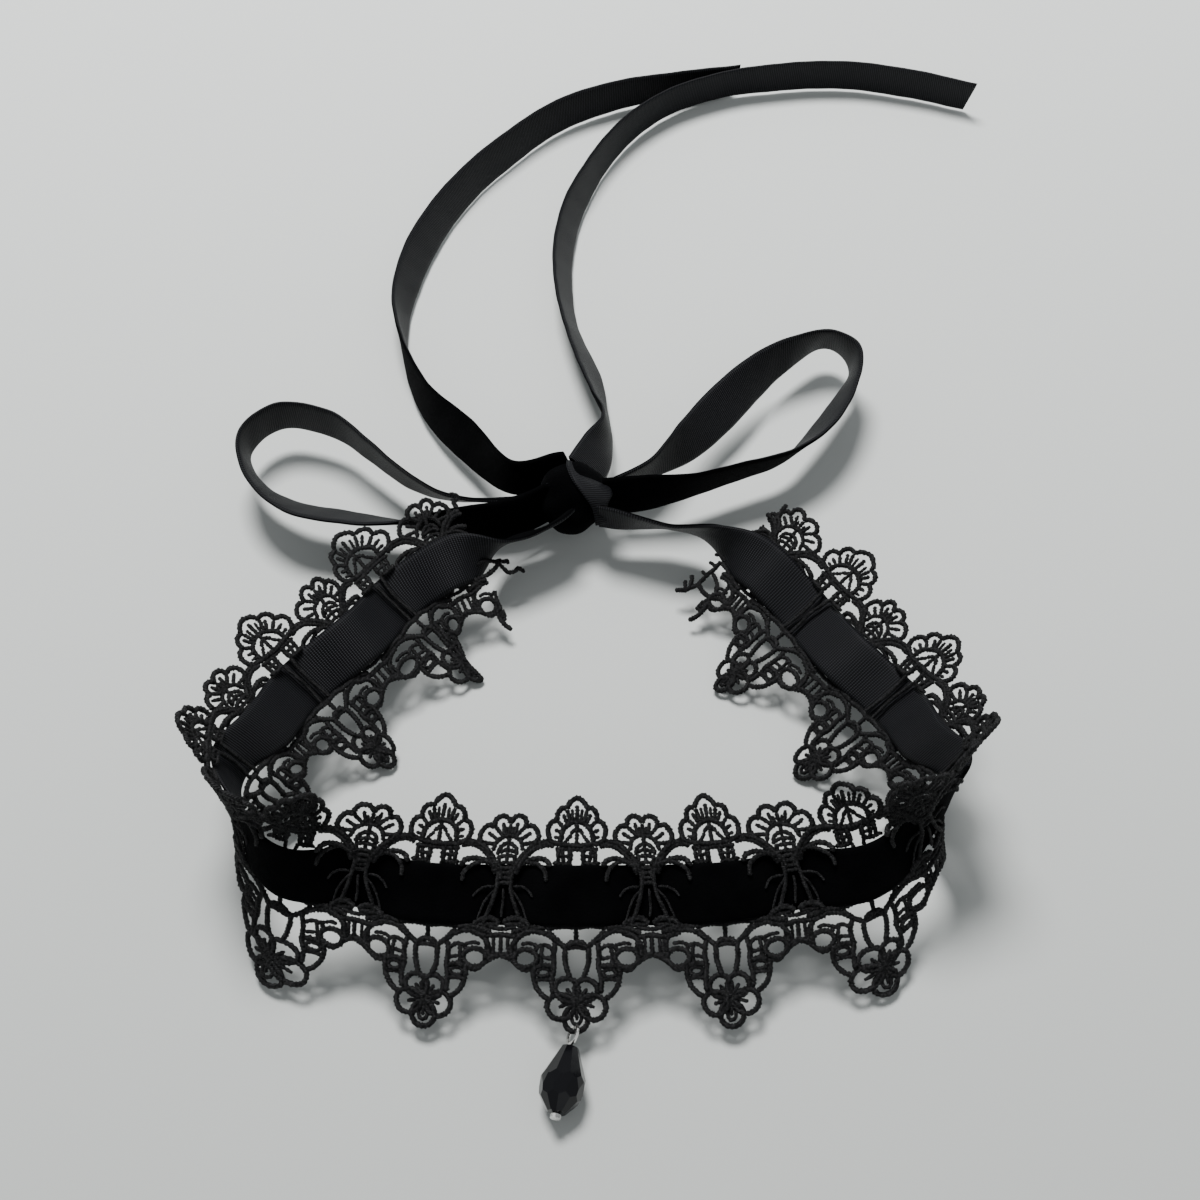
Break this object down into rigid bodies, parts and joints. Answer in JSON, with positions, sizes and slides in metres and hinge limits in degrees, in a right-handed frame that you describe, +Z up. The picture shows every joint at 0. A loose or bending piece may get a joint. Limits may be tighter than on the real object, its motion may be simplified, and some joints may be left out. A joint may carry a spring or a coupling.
{
  "type": "lace choker necklace",
  "caption": "Black lace choker with a velvet ribbon woven through it, tied behind in a bow with long tails, and a faceted bead hanging at the front.",
  "frame": {"origin": "middle of the underside of the whole laid-out choker, on the surface it lies on", "axes": "+Z up from the surface, -Y towards the front of the neck with its bead, +Y along the ribbon tails, +X to the right as seen from the front"},
  "size_m": [0.1774, 0.2844, 0.0414],
  "materials": {
    "lace": "matt corded thread",
    "ribbon": "velvet pile, ribbed satin back",
    "bead": "polished facets",
    "pin": "bright silver"
  },
  "bodies": {
    "root": {"lace_band": "lace", "neck_ribbon": "ribbon", "bow_knot": "ribbon", "bow_loop_left": "ribbon", "bow_loop_right": "ribbon", "tail_left": "ribbon", "tail_right": "ribbon", "drop_bead": "bead", "head_pin": "pin"}
  },
  "joints": []
}
